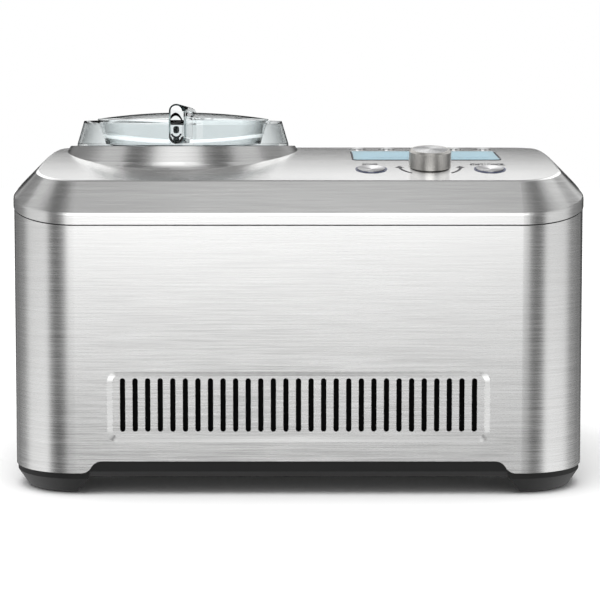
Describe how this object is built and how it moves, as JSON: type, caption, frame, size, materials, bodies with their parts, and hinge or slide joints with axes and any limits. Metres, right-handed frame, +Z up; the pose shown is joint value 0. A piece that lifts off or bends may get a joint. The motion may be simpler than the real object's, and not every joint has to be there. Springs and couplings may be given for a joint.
{
  "type": "ice cream maker",
  "caption": "Worktop ice cream maker with its own compressor: steel casing, lift-out bowl and geared paddle under a clear lid, panel with knob and buttons.",
  "frame": {"origin": "middle of the footprint, on the floor under the foot pads", "axes": "+X right along the casing's length, +Y to the back, +Z up; the front with the air intake faces -Y"},
  "size_m": [0.396, 0.272, 0.2645],
  "materials": {
    "steel": "fine upright brushing",
    "chrome": "bright",
    "black_plastic": "fine moulded grain",
    "dark_gloss": "smooth",
    "clear_plastic": "clear",
    "smoke_plastic": "tinted clear",
    "display_glass": "clear",
    "display_unit": "matt",
    "rubber": "matt",
    "silicone": "satin",
    "aluminium": "satin",
    "steel_plate": "zinc plated",
    "ground_steel": "ground",
    "copper": "drawn tube",
    "compressor_paint": "baked enamel",
    "motor_paint": "satin",
    "foam": "foamed",
    "gear_plastic": "moulded",
    "paddle_plastic": "moulded",
    "board_green": "coated board"
  },
  "bodies": {
    "housing": {"hood": "steel", "collar_liner": "dark_gloss", "body_wrap": "steel", "vent_grille": "steel", "seam_gasket": "rubber", "rear_panel": "steel_plate", "rear_screws": "ground_steel", "cord_gland": "black_plastic", "base_tray": "black_plastic", "foot_pads": "rubber", "chassis_plate": "steel_plate", "base_screws": "ground_steel", "cooling_chamber": "aluminium", "chamber_seal": "silicone", "evaporator_coil": "copper", "chamber_posts": "black_plastic", "foam_jacket": "foam", "idler_pin": "ground_steel", "gearbox_housing": "black_plastic", "gearbox_cover": "black_plastic", "shaft_bush": "copper", "shaft_seal": "rubber", "drive_motor": "motor_paint", "compressor": "compressor_paint", "compressor_grommets": "rubber", "condenser_tube": "copper", "condenser_fins": "aluminium", "fan_shroud": "black_plastic", "fan_motor": "motor_paint", "filter_drier": "copper", "refrigerant_lines": "copper", "encoder": "motor_paint", "button_rings": "dark_gloss", "button_switches": "dark_gloss", "display_window": "display_glass", "display_module": "display_unit", "control_board": "board_green", "board_screws": "ground_steel", "power_board": "board_green"},
    "bowl": {"bowl": "aluminium"},
    "lid": {"lid_shell": "clear_plastic", "lid_handle": "smoke_plastic", "lid_hinge_pin": "ground_steel", "lid_seal": "silicone"},
    "flap": {"lid_flap": "clear_plastic"},
    "paddle": {"paddle": "paddle_plastic"},
    "drive": {"drive_shaft": "ground_steel", "drive_gear": "gear_plastic"},
    "idler": {"idler_gear": "gear_plastic"},
    "pinion": {"motor_pinion": "ground_steel"},
    "fan": {"fan_blades": "black_plastic"},
    "knob": {"knob": "chrome", "knob_cap": "chrome", "encoder_shaft": "ground_steel"},
    "power_button": {"power_button": "chrome"},
    "start_button": {"start_button": "chrome"},
    "mode_button_1": {"mode_button_1": "chrome"},
    "mode_button_2": {"mode_button_2": "chrome"},
    "mode_button_3": {"mode_button_3": "chrome"},
    "mode_button_4": {"mode_button_4": "chrome"}
  },
  "joints": [
    {"name": "bowl_lift", "type": "slide", "parent": "housing", "child": "bowl", "axis": [0, 0, 1], "range_m": [0, 0.13]},
    {"name": "lid_lift", "type": "slide", "parent": "bowl", "child": "lid", "axis": [0, 0, 1], "range_m": [0, 0.08]},
    {"name": "flap_hinge", "type": "hinge", "parent": "lid", "child": "flap", "pos_m": [-0.0784, 0, 0.257], "axis": [0, -1, 0], "range_deg": [0, 90]},
    {"name": "paddle_spin", "type": "hinge", "parent": "bowl", "child": "paddle", "pos_m": [-0.0866, 0, 0.16], "axis": [0, 0, 1], "continuous": true},
    {"name": "drive_spin", "type": "hinge", "parent": "housing", "child": "drive", "pos_m": [-0.0866, 0, 0.06], "axis": [0, 0, 1], "continuous": true},
    {"name": "idler_spin", "type": "hinge", "parent": "housing", "child": "idler", "pos_m": [-0.02834, -0.02121, 0.06], "axis": [0, 0, 1], "continuous": true},
    {"name": "motor_spin", "type": "hinge", "parent": "housing", "child": "pinion", "pos_m": [0.0224, -0.03967, 0.06], "axis": [0, 0, 1], "continuous": true},
    {"name": "fan_spin", "type": "hinge", "parent": "housing", "child": "fan", "pos_m": [0.092, -0.094, 0.073], "axis": [0, -1, 0], "continuous": true},
    {"name": "knob_turn", "type": "hinge", "parent": "housing", "child": "knob", "pos_m": [0.0917, -0.085, 0.22002], "axis": [0, -0.2048, 0.9788], "continuous": true},
    {"name": "power_press", "type": "slide", "parent": "housing", "child": "power_button", "axis": [0, 0.2151, -0.9766], "range_m": [0, 0.0012], "stiffness_N_per_m": 400},
    {"name": "start_press", "type": "slide", "parent": "housing", "child": "start_button", "axis": [0, 0.2151, -0.9766], "range_m": [0, 0.0012], "stiffness_N_per_m": 400},
    {"name": "mode_press_1", "type": "slide", "parent": "housing", "child": "mode_button_1", "axis": [0, 0.0541, -0.9985], "range_m": [0, 0.0012], "stiffness_N_per_m": 400},
    {"name": "mode_press_2", "type": "slide", "parent": "housing", "child": "mode_button_2", "axis": [0, 0.0541, -0.9985], "range_m": [0, 0.0012], "stiffness_N_per_m": 400},
    {"name": "mode_press_3", "type": "slide", "parent": "housing", "child": "mode_button_3", "axis": [0, 0.0541, -0.9985], "range_m": [0, 0.0012], "stiffness_N_per_m": 400},
    {"name": "mode_press_4", "type": "slide", "parent": "housing", "child": "mode_button_4", "axis": [0, 0.0541, -0.9985], "range_m": [0, 0.0012], "stiffness_N_per_m": 400}
  ],
  "couplings": [
    {"joint": "drive_spin", "follows": "paddle_spin", "ratio": 1},
    {"joint": "idler_spin", "follows": "paddle_spin", "ratio": -4.1667},
    {"joint": "motor_spin", "follows": "paddle_spin", "ratio": 14.583}
  ]
}
